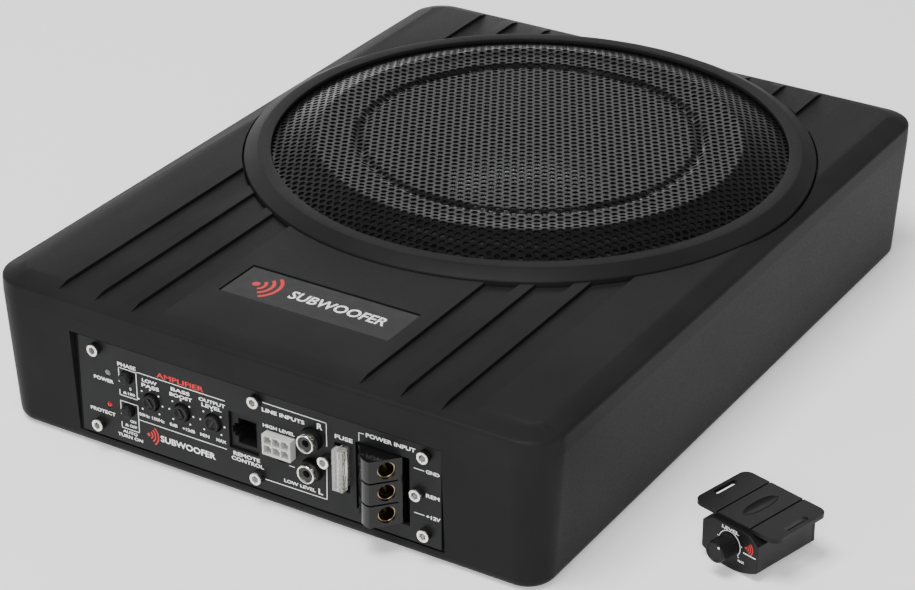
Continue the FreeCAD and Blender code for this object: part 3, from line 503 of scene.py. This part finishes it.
def bezel():
    """Moulded ring round the grille, with the groove that holds the sheet's rim."""
    profile = (
        (117.3, 68.0), (129.8, 68.0), (129.8, 72.6), (123.4, 76.0), (117.3, 76.0),
        (117.3, 73.7), (119.5, 73.7), (119.5, 72.3), (117.3, 72.3),
    )
    centre = Matrix.Translation((*WOOFER, 0.0))
    mesh = revolved("bezel_mesh", profile, 192, centre)
    obj = piece("bezel", mesh, CABINET, "cabinet", ("bezel_ring",))
    round_edges(obj, 0.5, 20.0)
    add_group(obj, SHADE)


grille()
bezel()


# ---------------------------------------------------------------- control panel

FACE = -173.6
PANEL_WAY = Matrix(((1, 0, 0, 0), (0, 0, -1, FACE), (0, 1, 0, 0), (0, 0, 0, 1)))
KNOB_HEIGHT = 31.5
KNOBS = {"low_pass": (-52.9, -38.0), "bass_boost": (-37.2, -30.0), "output_level": (-21.5, 32.0)}


def fluted(count, depth, low, high):
    """Grip ribs round a knob between two heights."""
    def wave(angle, radius, height):
        if low <= height <= high and radius > 2.5:
            return 1.0 - depth / radius * (0.5 + 0.5 * math.cos(angle * count))
        return 1.0
    return wave


def knobs():
    """Three trimmers with ribbed rims and a sunk pointer, each on its shaft."""
    for name, (x, lean) in KNOBS.items():
        profile = (
            (0.0, 1.15), (2.1, 1.15), (2.45, 1.6), (3.05, 1.8), (3.35, 1.7), (3.68, 1.35),
            (3.7, 0.9), (3.7, 0.2), (3.7, -1.75), (2.0, -1.8), (2.0, -8.2), (0.0, -8.2),
        )
        place = PANEL_WAY @ Matrix.Translation((x, KNOB_HEIGHT, 0.0))
        mesh = revolved(f"{name}_mesh", profile, 120, place, fluted(20, 0.28, -1.0, 1.4))
        obj = piece(f"{name}_trimmer", mesh, PLASTIC, f"{name}_control",
                    (f"{name}_knob",))
        add_group(obj, SHADE)
        build = bmesh.new()
        bar = block_mesh(build, (-0.45, -2.1, 1.1), (0.45, 2.1, 1.62))
        lip = block_mesh(build, (-0.22, -1.9, 1.55), (0.22, 1.9, 1.66))
        turn = place @ Matrix.Rotation(math.radians(-lean), 4, "Z")
        for vertex in bar + lip:
            vertex.co = (turn @ (vertex.co / MM)) * MM
        pointer = bpy.data.meshes.new(f"{name}_pointer_mesh")
        build.to_mesh(pointer)
        build.free()
        obj = piece(f"{name}_pointer", pointer, SHINY, f"{name}_control")
        round_edges(obj, 0.12)


def turned_copies(name, profile, steps, spots, wave=None):
    """One mesh that holds a turned shape at each (x, z) spot of the panel."""
    points, faces = [], []
    for x, z in spots:
        place = PANEL_WAY @ Matrix.Translation((x, z, 0.0))
        mesh = revolved("turned_part", profile, steps, place, wave)
        start = len(points)
        points += [tuple(vertex.co / MM) for vertex in mesh.vertices]
        faces += [tuple(start + i for i in polygon.vertices) for polygon in mesh.polygons]
        bpy.data.meshes.remove(mesh)
    return mesh_from(name, points, faces)


RCA_SPOTS = ((27.0, 39.3), (27.0, 25.1))


def line_inputs():
    """Two phono shells with rolled lips."""
    profile = (
        (3.3, 4.9), (3.42, 5.2), (3.7, 5.38), (3.95, 5.3), (4.1, 5.05), (4.15, 4.7), (4.15, 3.2),
        (3.85, 3.2), (3.85, -5.6), (3.3, -5.6),
    )
    mesh = turned_copies("rca_shell_mesh", profile, 64, RCA_SPOTS)
    obj = piece("line_shells", mesh, NICKEL, "cabinet", ("rca_shells",))
    add_group(obj, SHADE)


PANEL_SCREWS = [(x, z) for x in (-80.5, 0.3, 80.5) for z in (48.9, 12.9)]
PANEL_SCREWS += [(33.7, 31.5), (76.9, 30.6)]
# Height above the panel and radius of the dark discs laid in the screw sockets: painted shade over the
# socket floor and walls.
SOCKET_SHADE_HEIGHT = 1.5
SOCKET_SHADE_RADIUS = 1.5


def socket_screws():
    """Panel screws: round heads with an eased rim round a six-sided socket."""
    profile = (
        (0.0, 0.7), (1.65, 0.7), (1.65, 2.8), (1.85, 2.97), (2.3, 2.97), (2.62, 2.8), (2.75, 2.4),
        (2.7, 2.2), (1.9, 2.2), (1.9, 0.0), (1.5, 0.0), (1.5, -8.0), (0.0, -8.0),
    )
    side = ((1.95, 0.02), (1.95, 2.18), (2.68, 2.18), (2.68, 0.02))

    def six_sided(angle, radius, height):
        inside = 0.5 < height < 2.9 and radius < 1.7
        across = (angle + math.pi / 6) % (math.pi / 3) - math.pi / 6
        return math.cos(math.pi / 6) / math.cos(across) if inside else 1.0

    mesh = turned_copies("socket_screw_mesh", profile, 48, PANEL_SCREWS, six_sided)
    obj = piece("socket_screws", mesh, NICKEL, "cabinet", ("panel_screws",))
    add_group(obj, SHADE)
    # Dark ring round each head's side, below the nickel rim: its flutes are shape, and its dark colour is
    # painted shade on the sides of the heads.
    mesh = turned_copies("fluted_side_shade_mesh", side, 48, PANEL_SCREWS, fluted(24, 0.08, 0.0, 2.3))
    piece("screw_sides_painted_shade", mesh, DARK_STEEL_AND_SHADE, "cabinet")
    # A dark disc in each socket, halfway up: painted shade in the sockets.
    socket_shade = Print(PANEL_WAY, SOCKET_SHADE_HEIGHT)
    for x, z in PANEL_SCREWS:
        socket_shade.dot(x, z, SOCKET_SHADE_RADIUS)
    socket_shade.done("painted_socket_shade", DARK_STEEL_AND_SHADE, "cabinet")


FUSE_X, FUSE_Z = 41.4, 30.6


def boxes_mesh(name, boxes):
    """One mesh of boxes, each given by two corners."""
    build = bmesh.new()
    for low, high in boxes:
        block_mesh(build, low, high)
    mesh = bpy.data.meshes.new(name)
    build.to_mesh(mesh)
    build.free()
    return mesh


def blade_fuse():
    """Clear moulding over a metal link: two blades, their legs and a curved strip between."""
    x, z = FUSE_X, FUSE_Z
    body = boxes_mesh("fuse_body_mesh", [
        ((x - 2.6, FACE - 3.9, z - 9.55), (x + 2.6, FACE - 0.02, z + 9.55)),
        ((x - 1.9, FACE, z - 8.8), (x + 1.9, FACE + 7.2, z + 8.8)),
    ])
    obj = piece("fuse_body", body, FUSE_BODY, "fuse_link", ("fuse",))
    round_edges(obj, 0.35)
    add_group(obj, SHADE)
    legs = []
    for side in (-6.8, 6.8):
        legs.append(((x - 0.33, FACE - 2.9, z + side - 2.4), (x + 0.33, FACE + 12.3, z + side + 2.4)))
    for step in range(9):
        angle = math.radians(180.0 * step / 8)
        middle = z - 4.2 * math.cos(angle)
        rise = FACE - 0.6 - 1.9 * math.sin(angle)
        legs.append(((x - 0.3, rise - 0.5, middle - 0.9), (x + 0.3, rise + 0.5, middle + 0.9)))
    link = piece("fuse_element", boxes_mesh("fuse_link_mesh", legs), FUSE_METAL, "fuse_link")
    round_edges(link, 0.1)


def jack_contacts():
    """Six sprung contacts on the right of the modular socket."""
    wires = []
    for index in range(6):
        z = 31.0 + 1.27 * (index - 2.5)
        wires.append(((-2.2, FACE + 4.4, z - 0.16), (-1.4, FACE + 12.0, z + 0.16)))
    obj = piece("jack_contacts", boxes_mesh("jack_contact_mesh", wires), GOLD, "cabinet")
    round_edges(obj, 0.08)


knobs()
line_inputs()
blade_fuse()
jack_contacts()


# ---------------------------------------------------------------- woofer suspension

def suspension(name, profile, surface, node, fixed, free):
    """A ring of skin held by the frame at one radius and by the cone at the other.

    The blend's own weights run along one line, so they are set again by radius.
    """
    place = Matrix.Translation((*WOOFER, 0.0))
    mesh = revolved(f"{name}_mesh", profile, 120, place)
    mesh.materials.append(surface.material)
    obj = bpy.data.objects.new(name, mesh)
    scene.collection.objects.link(obj)
    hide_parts(node)
    centre = Vector((*WOOFER, 0.0)) * MM
    start, end = [centre + Vector((reach * MM, 0.0, 0.0)) for reach in (fixed, free)]
    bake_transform(obj, "cabinet", "woofer_cone", start=start, end=end)
    shares = []
    for vertex in mesh.vertices:
        radius = (vertex.co - centre).xy.length / MM
        share = min(1.0, max(0.0, (fixed - radius) / (fixed - free)))
        shares.append(share * share * (3 - 2 * share))
    mesh.attributes["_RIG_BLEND"].data.foreach_set("value", shares)
    add_group(obj, SHADE)


def roll_profile():
    """Flat lip, half roll that hangs down, and outer lip."""
    turns = [math.pi * step / 12 for step in range(1, 12)]
    under = [(92 - 6.0 * math.cos(a), 71.02 - 5.0 * math.sin(a)) for a in turns]
    over = [(92 - 5.2 * math.cos(a), 71.35 - 4.4 * math.sin(a)) for a in turns]
    outer = [(98.0, 71.02), (104.9, 71.02), (104.9, 71.9), (97.8, 71.9)]
    return [(82.2, 71.02), (86.0, 71.02)] + under + outer + over[::-1] + [(86.4, 71.35), (82.2, 71.35)]


def spider_profile():
    """Corrugated cloth with a flat foot on the frame."""
    steps = [26.4 + 0.8 * step for step in range(39)]
    waves = [(r, 41.3 + 0.7 * math.sin((r - 26.4) * math.pi / 3.9)) for r in steps]
    over = [(r, z + 0.4) for r, z in waves]
    foot = [(58.5, 40.05), (65.8, 40.05), (65.8, 40.6), (58.8, 40.6)]
    return waves + foot + over[::-1]


suspension("rubber_roll", roll_profile(), RUBBER, "surround", 97.5, 86.5)
suspension("corrugated_cloth", spider_profile(), SPIDER, "spider", 57.5, 28.0)


# ---------------------------------------------------------------- printing

class Print:
    """Flat marks on one face, laid out in millimetres along the face's own axes."""

    def __init__(self, way, lift=0.04):
        self.way = way @ Matrix.Translation((0.0, 0.0, lift))
        self.points = []
        self.faces = []

    def add(self, points, faces):
        start = len(self.points)
        self.points += [self.way @ Vector((*point, 0.0)) for point in points]
        self.faces += [tuple(start + index for index in face) for face in faces]

    def line(self, width, *points):
        for start, end in zip(points, points[1:]):
            along = Vector(end) - Vector(start)
            along.normalize()
            side = Vector((-along.y, along.x)) * width / 2
            grow = along * width / 2
            a, b = Vector(start) - grow, Vector(end) + grow
            self.add([a + side, a - side, b - side, b + side], [(0, 1, 2, 3)])

    def dot(self, x, y, radius):
        ring = [math.radians(30.0 * k) for k in range(12)]
        self.add([(x + radius * math.cos(a), y + radius * math.sin(a)) for a in ring],
                 [tuple(range(12))])

    def arc(self, x, y, radius, width, start, end, steps):
        points = []
        for step in range(steps + 1):
            angle = math.radians(start + (end - start) * step / steps)
            for reach in (radius - width / 2, radius + width / 2):
                points.append((x + reach * math.cos(angle), y + reach * math.sin(angle)))
        self.add(points, [(2 * k, 2 * k + 1, 2 * k + 3, 2 * k + 2) for k in range(steps)])

    def words(self, text, x, y, width, height, weight=0.024):
        """Plain lettering centred on a point and fitted to a width and a height."""
        curve = bpy.data.curves.new("words", "FONT")
        curve.body = text
        curve.offset = weight
        curve.resolution_u = 3
        holder = bpy.data.objects.new("words", curve)
        scene.collection.objects.link(holder)
        graph = bpy.context.evaluated_depsgraph_get()
        mesh = bpy.data.meshes.new_from_object(holder.evaluated_get(graph))
        across = [vertex.co.x for vertex in mesh.vertices]
        up = [vertex.co.y for vertex in mesh.vertices]
        wide = width / (max(across) - min(across))
        tall = height / (max(up) - min(up))
        middle = ((max(across) + min(across)) / 2, (max(up) + min(up)) / 2)
        points = [
            (x + (a - middle[0]) * wide, y + (b - middle[1]) * tall) for a, b in zip(across, up)
        ]
        self.add(points, [tuple(polygon.vertices) for polygon in mesh.polygons])
        bpy.data.objects.remove(holder)
        bpy.data.meshes.remove(mesh)
        bpy.data.curves.remove(curve)

    def done(self, name, surface, body):
        mesh = bpy.data.meshes.new(name)
        mesh.from_pydata([tuple(c * MM for c in point) for point in self.points], [], self.faces)
        return piece(name, mesh, surface, body)


def sound_mark(marks, x, y, size):
    """A generic mark: a dot with three sound waves on its right."""
    marks.dot(x - size * 0.42, y, size * 0.13)
    for index in range(3):
        reach = size * (0.30 + 0.24 * index)
        marks.arc(x - size * 0.42, y, reach, size * 0.11, -52.0, 52.0, 16)


def panel_print():
    """Plain words, lines and dots that say what each control does."""
    white = Print(PANEL_WAY)
    write, line = white.words, white.line
    write("POWER", -77.4, 35.0, 10.2, 1.7)
    write("PROTECT", -78.9, 19.2, 13.0, 1.7)
    write("PHASE", -64.9, 44.9, 9.4, 1.8)
    line(0.35, (-69.2, 36.4), (-69.2, 43.2), (-60.2, 43.2), (-60.2, 30.2), (-69.2, 30.2),
         (-69.2, 32.6))
    line(0.35, (-69.2, 21.0), (-69.2, 27.4), (-60.2, 27.4), (-60.2, 14.4), (-69.2, 14.4),
         (-69.2, 17.0))
    write("0", -63.6, 34.4, 1.0, 1.4)
    write("180", -63.2, 31.9, 3.6, 1.4)
    write("ON", -63.2, 18.7, 3.0, 1.4)
    write("OFF", -63.2, 16.3, 3.8, 1.4)
    for z in (31.9, 16.3):
        line(0.5, (-67.2, z - 0.4), (-66.0, z - 0.4))
        line(0.5, (-66.9, z + 0.2), (-66.3, z + 0.2))
    write("AUTO", -65.1, 12.8, 7.6, 1.4)
    write("TURN ON", -65.2, 10.6, 13.0, 1.5)
    write("LOW", -53.4, 40.9, 7.6, 1.7)
    write("PASS", -53.1, 38.5, 9.0, 1.7)
    write("BASS", -37.7, 41.2, 9.6, 1.7)
    write("BOOST", -37.6, 38.6, 11.4, 1.7)
    write("OUTPUT", -21.8, 40.9, 13.2, 1.7)
    write("LEVEL", -22.1, 38.5, 10.0, 1.7)
    for text, x, width in (
        ("50Hz", -57.0, 5.4), ("150Hz", -49.9, 6.4), ("0dB", -42.0, 3.9), ("+12dB", -34.3, 6.3),
        ("MIN", -26.2, 4.6), ("MAX", -17.9, 5.0),
    ):
        write(text, x, 23.9, width, 1.5)
    for x in (-53.4, -37.7, -22.0):
        for angle in range(-45, 226, 45):
            turn = math.radians(angle)
            white.dot(x + 6.1 * math.cos(turn), 31.1 + 6.0 * math.sin(turn), 0.42)
    line(0.3, (-59.6, 43.6), (-15.4, 43.6))
    line(0.3, (-59.7, 20.8), (-15.4, 20.8))
    write("SUBWOOFER", -35.2, 15.2, 28.0, 3.0)
    write("REMOTE", -5.4, 20.4, 13.2, 1.8)
    write("CONTROL", -5.0, 17.9, 16.0, 1.8)
    write("LINE INPUTS", 13.4, 45.6, 20.6, 1.8)
    line(0.3, (3.7, 48.9), (34.2, 48.8), (34.2, 38.2))
    line(0.3, (34.0, 29.8), (33.7, 13.0), (3.7, 12.7))
    write("R", 31.0, 46.2, 2.6, 2.6)
    write("L", 30.7, 15.6, 2.2, 2.6)
    write("HIGH LEVEL", 11.0, 38.4, 15.4, 1.6)
    write("LOW LEVEL", 20.6, 15.3, 15.4, 1.6)
    line(0.3, (15.8, 23.1), (18.2, 23.1))
    write("FUSE", 42.4, 44.3, 8.4, 1.9)
    write("POWER INPUT", 64.4, 49.4, 23.0, 1.9)
    line(0.3, (49.6, 45.8), (49.6, 49.4), (51.8, 49.4))
    write("GND", 83.7, 41.6, 6.2, 1.7)
    write("REM", 83.7, 30.6, 6.2, 1.7)
    write("+12V", 83.9, 21.0, 6.6, 1.7)
    line(0.3, (75.2, 41.5), (79.6, 41.5))
    line(0.3, (75.2, 21.0), (79.6, 21.0))
    white.done("panel_legends", INK, "cabinet")
    red = Print(PANEL_WAY)
    red.words("AMPLIFIER", -37.6, 45.6, 24.0, 2.4)
    sound_mark(red, -52.6, 15.2, 6.4)
    red.done("panel_mark", RED_INK, "cabinet")


def badge_print():
    """The generic mark and the word on the lid's badge."""
    way = Matrix.Translation((0.0, -127.0, 71.5))
    silver = Print(way)
    silver.words("SUBWOOFER", 9.5, 0.0, 47.0, 6.4, 0.02)
    silver.done("badge_lettering", SILVER_INK, "cabinet")
    red = Print(way)
    sound_mark(red, -25.5, 0.0, 14.0)
    red.done("badge_mark", RED_INK, "cabinet")


socket_screws()
panel_print()
badge_print()


# ---------------------------------------------------------------- level control

REMOTE_WAY = (
    Matrix.Translation((189.0, -98.8, 0.0))
    @ Matrix.Rotation(math.radians(-15.0), 4, "Z")
    @ Matrix(((1, 0, 0, 0), (0, 0, -1, -17.5), (0, 1, 0, 0), (0, 0, 0, 1)))
)
REMOTE_KNOB = 11.4


def level_knob():
    """Ribbed knob with a dished end and a white dot."""
    profile = (
        (0.0, 8.75), (3.6, 8.75), (3.75, 9.0), (4.3, 9.0), (4.55, 8.85), (4.7, 8.4), (4.7, 7.6),
        (4.7, 1.0), (4.7, 0.4), (2.0, 0.4), (2.0, -7.0), (0.0, -7.0),
    )
    place = REMOTE_WAY @ Matrix.Translation((0.0, REMOTE_KNOB, 0.0))
    mesh = revolved("level_knob_mesh", profile, 144, place, fluted(24, 0.22, 0.9, 8.0))
    obj = piece("level_knob_ribbed", mesh, PLASTIC, "level_knob", ("remote_knob",))
    add_group(obj, SHADE)
    mark = Print(place, 9.03)
    mark.dot(2.2, 3.0, 0.55)
    mark.done("level_knob_dot", INK, "level_knob")


def remote_print():
    """The level control's scale, words and mark."""
    white = Print(REMOTE_WAY)
    white.words("LEVEL", 0.2, 17.9, 8.8, 1.4)
    white.arc(0.0, REMOTE_KNOB, 5.6, 0.28, -40.0, 220.0, 48)
    for angle in range(-40, 221, 52):
        turn = math.radians(angle)
        white.dot(6.3 * math.cos(turn), REMOTE_KNOB + 6.3 * math.sin(turn), 0.26)
    white.words("MIN", -6.3, 5.9, 2.9, 1.15)
    white.words("MAX", 6.3, 5.9, 3.1, 1.15)
    white.line(0.42, (7.4, 10.6), (13.4, 10.6))
    white.done("remote_legends", INK, "level_unit")
    red = Print(REMOTE_WAY)
    sound_mark(red, 10.3, 13.4, 4.4)
    red.done("remote_mark", RED_INK, "level_unit")


level_knob()
remote_print()


# ---------------------------------------------------------------- studio

FLOOR_REACH = 9.0
LAMPS = (
    ("front_fill", (1.1, -2.3, 1.7), (0.0, -0.1, 0.0), (1.3, 1.3), 55.0),
    ("high_softbox", (-0.2, -0.8, 2.5), (0.0, 0.0, 0.0), (1.2, 1.2), 85.0),
    ("left_softbox", (-2.3, 0.7, 1.2), (0.0, 0.0, 0.05), (1.2, 1.0), 6.0),
    ("back_softbox", (-1.45, 2.25, 1.6), (0.0, 0.0, 0.05), (1.7, 0.7), 10.0),
    ("low_back_softbox", (-2.3, 2.3, 0.35), (0.0, 0.0, 0.05), (2.4, 0.5), 10.0),
)


def make_floor():
    """A pale floor with a faint glow of its own, so that it stays plain."""
    look = Surface("studio_floor", (0.86, 0.86, 0.86), 0.75)
    look.mottle(look.noise(3.0, 2.0), 0.01)
    look.set("Emission Color", (1.0, 1.0, 1.0, 1.0)).set("Emission Strength", 0.3)
    mesh = bpy.data.meshes.new("floor")
    corners = [(x * FLOOR_REACH, y * FLOOR_REACH, 0) for x, y in ((-1, -1), (1, -1), (1, 1), (-1, 1))]
    mesh.from_pydata(corners, [], [(0, 1, 2, 3)])
    mesh.materials.append(look.material)
    floor = bpy.data.objects.new("floor", mesh)
    floor.location.z = -0.0002
    scene.collection.objects.link(floor)


def make_dome():
    """A room that is bright near the floor and dark overhead."""
    world = bpy.data.worlds.new("studio")
    world.use_nodes = True
    dome = world.node_tree
    coords = dome.nodes.new("ShaderNodeTexCoord")
    split = dome.nodes.new("ShaderNodeSeparateXYZ")
    ramp = dome.nodes.new("ShaderNodeValToRGB")
    ramp.color_ramp.elements[0].color = (1.0, 1.0, 1.0, 1.0)
    ramp.color_ramp.elements[1].color = (0.10, 0.10, 0.10, 1.0)
    ramp.color_ramp.elements[1].position = 0.85
    for position, tone in ((0.12, 0.95), (0.35, 0.50), (0.6, 0.22)):
        ramp.color_ramp.elements.new(position).color = (tone, tone, tone, 1.0)
    dome.links.new(coords.outputs["Generated"], split.inputs["Vector"])
    dome.links.new(split.outputs["Z"], ramp.inputs["Fac"])
    dome.links.new(ramp.outputs["Color"], dome.nodes["Background"].inputs["Color"])
    dome.nodes["Background"].inputs["Strength"].default_value = 0.8
    scene.world = world


def make_lamps():
    for name, place, target, (wide, tall), power in LAMPS:
        light = bpy.data.lights.new(name, "AREA")
        light.shape = "RECTANGLE"
        light.size = wide
        light.size_y = tall
        light.energy = power
        obj = bpy.data.objects.new(name, light)
        obj.matrix_world = aimed(place, target)
        scene.collection.objects.link(obj)


make_floor()
make_dome()
make_lamps()
